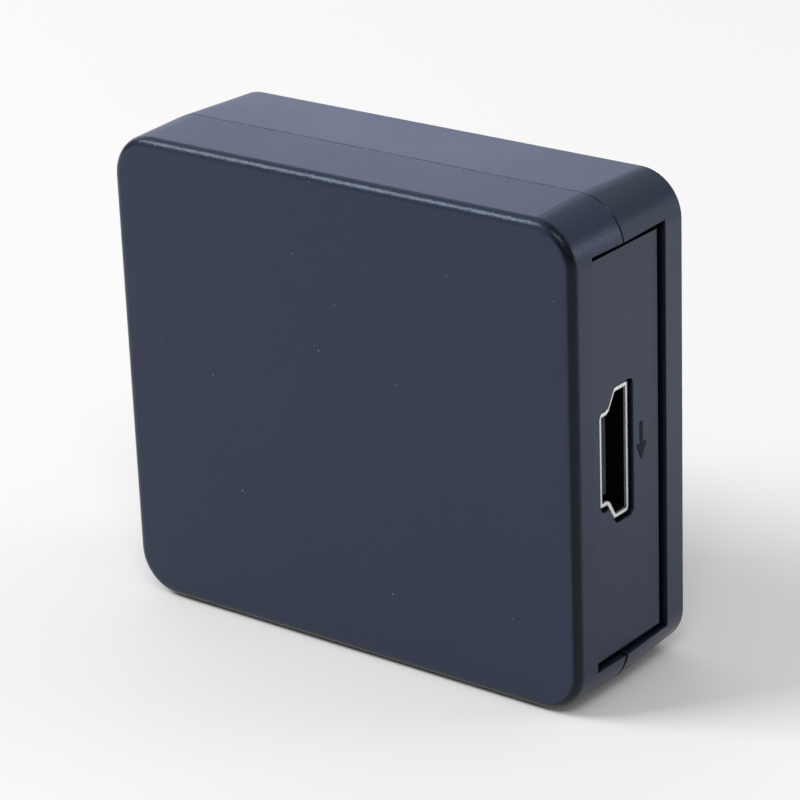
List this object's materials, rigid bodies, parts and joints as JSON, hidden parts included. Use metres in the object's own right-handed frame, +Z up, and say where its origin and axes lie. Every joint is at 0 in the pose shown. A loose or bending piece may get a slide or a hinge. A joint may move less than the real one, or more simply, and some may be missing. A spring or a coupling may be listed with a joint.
{
  "type": "hdmi to av converter",
  "caption": "Small black box that turns a digital picture input into analogue video and sound, with sockets at its ends, a power socket and a slide switch.",
  "frame": {"origin": "bottom centre of the object's box, standing on its long side as pictured", "axes": "+X out of the input end, +Y from the plain base face to the lid, +Z up"},
  "size_m": [0.0626, 0.0212, 0.0564],
  "materials": {
    "case_plastic": "satin black moulded plastic with a fine grain",
    "board_laminate": "green solder mask over glass laminate",
    "socket_plate": "drawn sheet steel, tin plated",
    "socket_plastic": "black moulded insulator",
    "contact_gilt": "thin gold flash over brass",
    "jack_block_plastic": "black moulded block",
    "yellow_plastic": "glossy moulded yellow",
    "white_plastic": "glossy moulded white",
    "red_plastic": "glossy moulded red",
    "jack_plate": "nickel plate on turned brass",
    "insulator_nylon": "natural nylon, turned face",
    "switch_base_plastic": "brown resin board",
    "switch_knob_plastic": "black moulded knob",
    "lead_tin": "tinned leads",
    "chip_resin": "black moulding resin",
    "can_steel": "drawn steel can",
    "coil_ferrite": "dark ferrite",
    "can_aluminium": "drawn aluminium can",
    "ceramic_body": "tan ceramic with tinned caps",
    "resistor_body": "black glazed body with tinned caps"
  },
  "bodies": {
    "housing": {"base_shell": "case_plastic", "lid_shell": "case_plastic", "circuit_board": "board_laminate", "input_socket_shell": "socket_plate", "input_socket_tongue": "socket_plastic", "input_socket_contacts": "contact_gilt", "power_socket_shell": "socket_plate", "power_socket_tongue": "socket_plastic", "power_socket_contacts": "contact_gilt", "switch_frame": "socket_plate", "switch_base": "switch_base_plastic", "switch_pins": "lead_tin", "converter_chip": "chip_resin", "converter_chip_leads": "lead_tin", "memory_chip": "chip_resin", "memory_chip_leads": "lead_tin", "voltage_regulator": "chip_resin", "voltage_regulator_leads": "lead_tin", "crystal_base": "socket_plastic", "crystal_can": "can_steel", "power_coil": "coil_ferrite", "capacitor_bases": "socket_plastic", "capacitor_cans": "can_aluminium", "ceramic_capacitors": "ceramic_body", "chip_resistors": "resistor_body", "video_jack_body": "jack_block_plastic", "video_jack_collar": "yellow_plastic", "video_jack_sleeve": "jack_plate", "video_jack_insulator": "insulator_nylon", "video_jack_tip_contact": "contact_gilt", "left_sound_jack_body": "jack_block_plastic", "left_sound_jack_collar": "white_plastic", "left_sound_jack_sleeve": "jack_plate", "left_sound_jack_insulator": "insulator_nylon", "left_sound_jack_tip_contact": "contact_gilt", "right_sound_jack_body": "jack_block_plastic", "right_sound_jack_collar": "red_plastic", "right_sound_jack_sleeve": "jack_plate", "right_sound_jack_insulator": "insulator_nylon", "right_sound_jack_tip_contact": "contact_gilt"},
    "switch_knob": {"switch_slider": "switch_knob_plastic", "switch_clip": "contact_gilt"}
  },
  "joints": [
    {"name": "switch_slide", "type": "slide", "parent": "housing", "child": "switch_knob", "axis": [1, 0, 0], "range_m": [0, 0.002]}
  ]
}
